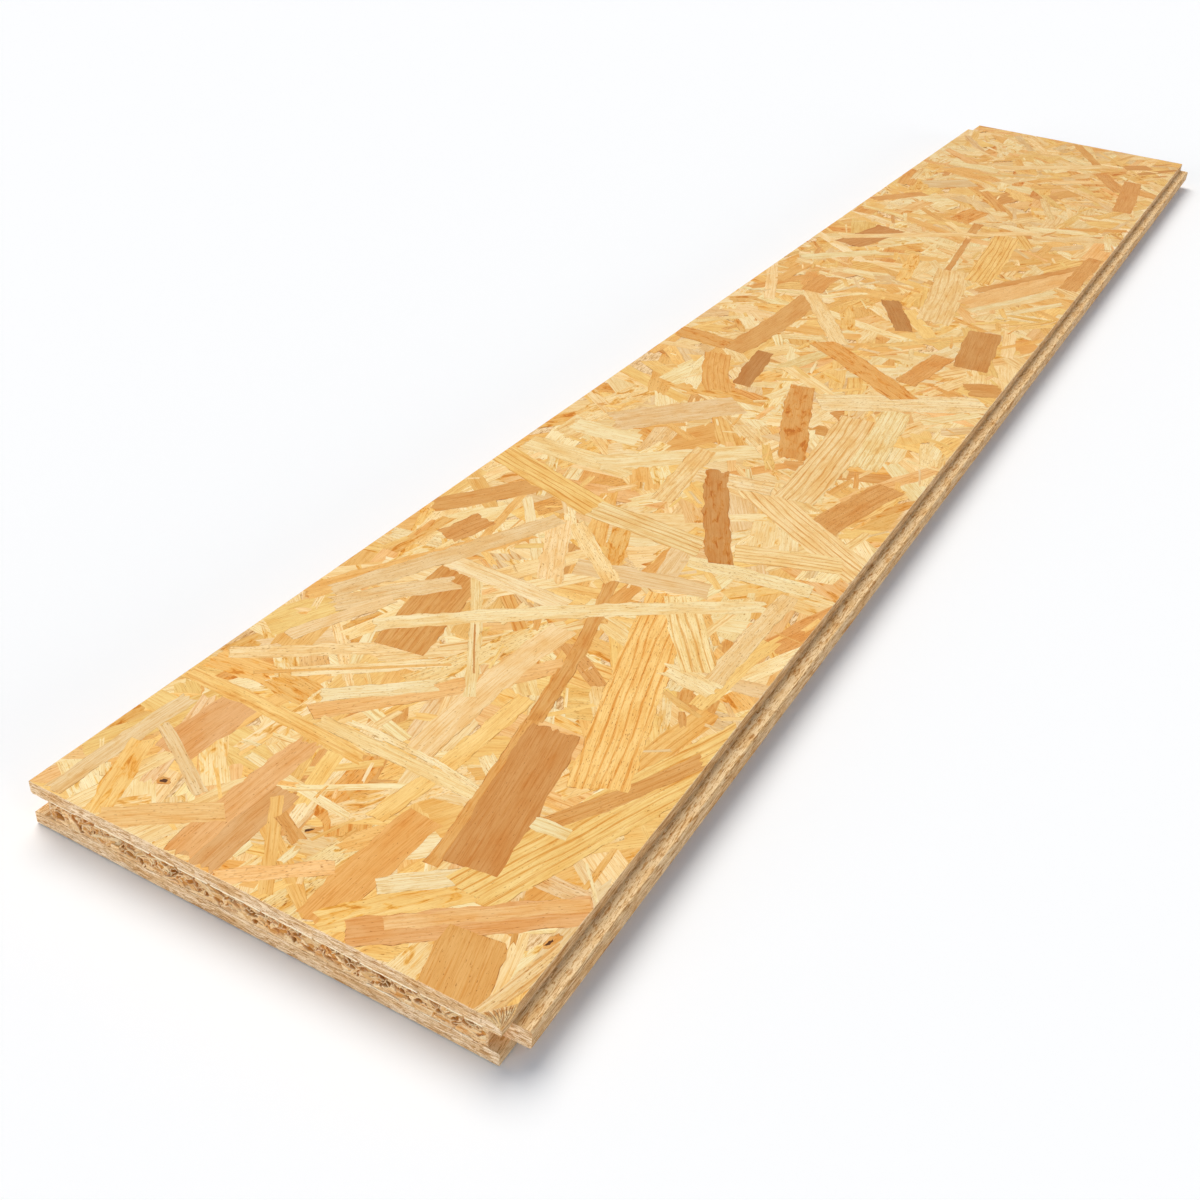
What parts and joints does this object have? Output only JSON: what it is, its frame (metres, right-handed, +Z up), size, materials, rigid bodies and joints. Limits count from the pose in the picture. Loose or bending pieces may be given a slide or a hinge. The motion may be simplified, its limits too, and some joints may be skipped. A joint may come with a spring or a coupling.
{
  "type": "tongue and groove osb board",
  "caption": "Flat rectangular board of pressed wood strands, with a tongue along one long edge and a matching groove along the other.",
  "frame": {"origin": "middle of the underside, between the two upper long edges and halfway along the board", "axes": "+X along the board, from the end with the coped tongue to the square end; +Y across it, from the tongue edge to the groove edge; +Z up, out of the face"},
  "size_m": [1.265, 0.2225, 0.022],
  "materials": {
    "osb": "pressed softwood strands, lightly waxed"
  },
  "bodies": {
    "root": {"board": "osb"}
  },
  "joints": []
}
